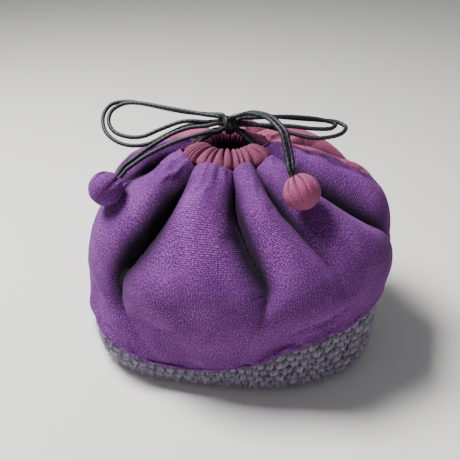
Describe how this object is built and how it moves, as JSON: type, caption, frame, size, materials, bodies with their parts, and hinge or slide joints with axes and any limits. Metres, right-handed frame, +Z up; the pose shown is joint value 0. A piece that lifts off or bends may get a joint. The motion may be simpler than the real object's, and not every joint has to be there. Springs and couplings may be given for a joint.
{
  "type": "drawstring dice bag",
  "caption": "Squat hand-sewn drawstring pouch with a knitted oval foot, gathered cloth body, small corded mouth tied in a bow, and fabric-covered balls on the cord ends.",
  "frame": {"origin": "middle of the knitted foot, on the table it stands on", "axes": "+X to the pouch's right as its linen front is looked at, +Y from the linen front to the cotton back, +Z up to the mouth"},
  "size_m": [0.1773, 0.1558, 0.1472],
  "materials": {
    "linen": "plain-weave linen, heathered, matt",
    "cotton": "plain-weave cotton, soft and matt",
    "knit": "brushed wool-blend yarn, chunky rows, fuzzy",
    "lining": "plain cotton lining, matt",
    "waxed_cord": "waxed cotton cord, dull sheen",
    "wadding": "loose cotton wadding"
  },
  "bodies": {
    "pouch": {"knit_base": "knit", "knit_band": "knit", "front_panel": "linen", "back_panel": "cotton", "lining_wall": "lining", "lining_floor": "lining", "front_casing": "cotton", "back_casing": "cotton", "left_drawcord": "waxed_cord", "right_drawcord": "waxed_cord", "bow_knot": "waxed_cord"},
    "left_loop": {"left_loop_outer": "waxed_cord", "left_loop_inner": "waxed_cord"},
    "right_loop": {"right_loop_outer": "waxed_cord", "right_loop_inner": "waxed_cord"},
    "left_tail": {"left_tail_upper": "waxed_cord", "left_tail_lower": "waxed_cord", "left_ball_cover": "linen", "left_ball_wadding": "wadding", "left_ball_stop_knot": "waxed_cord"},
    "right_tail": {"right_tail_outer": "waxed_cord", "right_tail_inner": "waxed_cord", "right_ball_cover": "cotton", "right_ball_wadding": "wadding", "right_ball_stop_knot": "waxed_cord"}
  },
  "joints": [
    {"name": "left_loop_swing", "type": "hinge", "parent": "pouch", "child": "left_loop", "pos_m": [-0.0065, 0.012, 0.134], "axis": [0, 0.5, -0.866], "range_deg": [0, 25]},
    {"name": "right_loop_swing", "type": "hinge", "parent": "pouch", "child": "right_loop", "pos_m": [-0.0065, 0.012, 0.134], "axis": [0, -0.5, 0.866], "range_deg": [0, 25]},
    {"name": "left_ball_swing", "type": "hinge", "parent": "pouch", "child": "left_tail", "pos_m": [-0.0065, 0.012, 0.134], "axis": [0, 0.6, 0.8], "range_deg": [0, 45]},
    {"name": "right_ball_lift", "type": "hinge", "parent": "pouch", "child": "right_tail", "pos_m": [-0.0065, 0.012, 0.134], "axis": [-0.5408, -0.8412, 0], "range_deg": [0, 40]}
  ]
}
